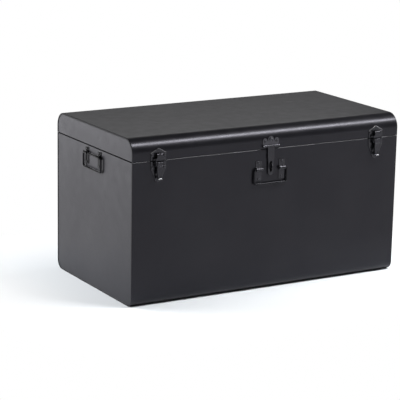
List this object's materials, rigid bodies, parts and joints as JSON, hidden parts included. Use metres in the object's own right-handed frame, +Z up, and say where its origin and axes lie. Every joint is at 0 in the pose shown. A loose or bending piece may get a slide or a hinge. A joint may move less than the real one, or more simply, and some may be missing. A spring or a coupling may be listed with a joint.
{
  "type": "storage trunk",
  "caption": "Black sheet-steel storage trunk with a hinged lid, draw latches, a slotted hasp with its staple, and drop handles.",
  "frame": {"origin": "on the ground under the middle of the trunk", "axes": "+X along the length, to the right seen from the front; -Y out of the front face with the latches; +Z up"},
  "size_m": [0.8164, 0.4474, 0.43],
  "materials": {
    "shell": "satin black powder coat",
    "hardware": "satin black powder coat, slightly smoother than the shell",
    "rivets": "black painted steel, slightly polished heads",
    "lever": "satin black paint, worn to bare metal on the rolled finger tip",
    "inner_steel": "satin black powder coat, unworn inside faces",
    "stay": "bright zinc-plated steel"
  },
  "bodies": {
    "trunk_body": {"body_wrap": "shell", "body_end_left": "shell", "body_end_right": "shell", "mouth_collar_front": "inner_steel", "mouth_collar_rear": "inner_steel", "mouth_collar_left": "inner_steel", "mouth_collar_right": "inner_steel", "hinge_body_leaf_left": "hardware", "hinge_body_leaf_middle": "hardware", "hinge_body_leaf_right": "hardware", "hinge_pin_left": "hardware", "hinge_pin_middle": "hardware", "hinge_pin_right": "hardware", "hinge_body_rivets": "rivets", "latch_base_left": "hardware", "latch_base_right": "hardware", "latch_pin_left": "hardware", "latch_pin_right": "hardware", "latch_base_rivets": "rivets", "hasp_staple": "hardware", "front_bail_clip_left": "hardware", "front_bail_clip_right": "hardware", "left_bail_clip_front": "hardware", "left_bail_clip_rear": "hardware", "right_bail_clip_front": "hardware", "right_bail_clip_rear": "hardware", "handle_rivets": "rivets", "stay_stud_left": "stay", "stay_stud_right": "stay"},
    "lid": {"lid_wrap": "shell", "lid_wrap_fold_left": "shell", "lid_wrap_fold_right": "shell", "lid_end_left": "shell", "lid_end_right": "shell", "lid_stiffener_front": "inner_steel", "lid_stiffener_rear": "inner_steel", "hinge_lid_leaf_left": "hardware", "hinge_lid_leaf_middle": "hardware", "hinge_lid_leaf_right": "hardware", "hinge_lid_rivets": "rivets", "latch_catch_left": "hardware", "latch_catch_right": "hardware", "lid_front_rivets": "rivets", "hasp_plate": "hardware", "hasp_boss": "hardware", "hasp_pin": "hardware", "stay_pivot_left": "stay", "stay_pivot_right": "stay"},
    "latch_lever_left": {"latch_lever_left": "lever"},
    "latch_lever_right": {"latch_lever_right": "lever"},
    "latch_link_left": {"latch_link_left": "hardware"},
    "latch_link_right": {"latch_link_right": "hardware"},
    "hasp_strap": {"hasp_strap": "hardware"},
    "front_bail": {"front_bail": "hardware"},
    "left_bail": {"left_bail": "hardware"},
    "right_bail": {"right_bail": "hardware"},
    "stay_arm_left": {"stay_arm_left": "stay"},
    "stay_arm_right": {"stay_arm_right": "stay"}
  },
  "joints": [
    {"name": "lid_hinge", "type": "hinge", "parent": "trunk_body", "child": "lid", "pos_m": [0, 0.21686, 0.37275], "axis": [-1, 0, 0], "range_deg": [0, 100]},
    {"name": "latch_lever_left_pivot", "type": "hinge", "parent": "trunk_body", "child": "latch_lever_left", "pos_m": [-0.328, -0.2205, 0.3675], "axis": [-1, 0, 0], "range_deg": [0, 120]},
    {"name": "latch_link_left_pivot", "type": "hinge", "parent": "latch_lever_left", "child": "latch_link_left", "pos_m": [-0.328, -0.2205, 0.3625], "axis": [-1, 0, 0], "range_deg": [-120, 0]},
    {"name": "latch_lever_right_pivot", "type": "hinge", "parent": "trunk_body", "child": "latch_lever_right", "pos_m": [0.328, -0.2205, 0.3675], "axis": [-1, 0, 0], "range_deg": [0, 120]},
    {"name": "latch_link_right_pivot", "type": "hinge", "parent": "latch_lever_right", "child": "latch_link_right", "pos_m": [0.328, -0.2205, 0.3625], "axis": [-1, 0, 0], "range_deg": [-120, 0]},
    {"name": "hasp_strap_pivot", "type": "hinge", "parent": "lid", "child": "hasp_strap", "pos_m": [0, -0.21646, 0.381], "axis": [-1, 0, 0], "range_deg": [0, 150]},
    {"name": "front_bail_pivot", "type": "hinge", "parent": "trunk_body", "child": "front_bail", "pos_m": [0, -0.2175, 0.3215], "axis": [-1, 0, 0], "range_deg": [0, 165]},
    {"name": "left_bail_pivot", "type": "hinge", "parent": "trunk_body", "child": "left_bail", "pos_m": [-0.4037, 0, 0.353], "axis": [0, 1, 0], "range_deg": [0, 165]},
    {"name": "right_bail_pivot", "type": "hinge", "parent": "trunk_body", "child": "right_bail", "pos_m": [0.4037, 0, 0.353], "axis": [0, -1, 0], "range_deg": [0, 165]},
    {"name": "stay_left_pivot", "type": "hinge", "parent": "lid", "child": "stay_arm_left", "pos_m": [-0.3932, 0.09868, 0.39359], "axis": [-1, 0, 0], "range_deg": [-50, 0]},
    {"name": "stay_right_pivot", "type": "hinge", "parent": "lid", "child": "stay_arm_right", "pos_m": [0.3932, 0.09868, 0.39359], "axis": [-1, 0, 0], "range_deg": [-50, 0]}
  ],
  "couplings": [
    {"joint": "latch_link_left_pivot", "follows": "latch_lever_left_pivot", "ratio": -1},
    {"joint": "latch_link_right_pivot", "follows": "latch_lever_right_pivot", "ratio": -1},
    {"joint": "stay_left_pivot", "follows": "lid_hinge", "ratio": -0.5},
    {"joint": "stay_right_pivot", "follows": "lid_hinge", "ratio": -0.5}
  ]
}
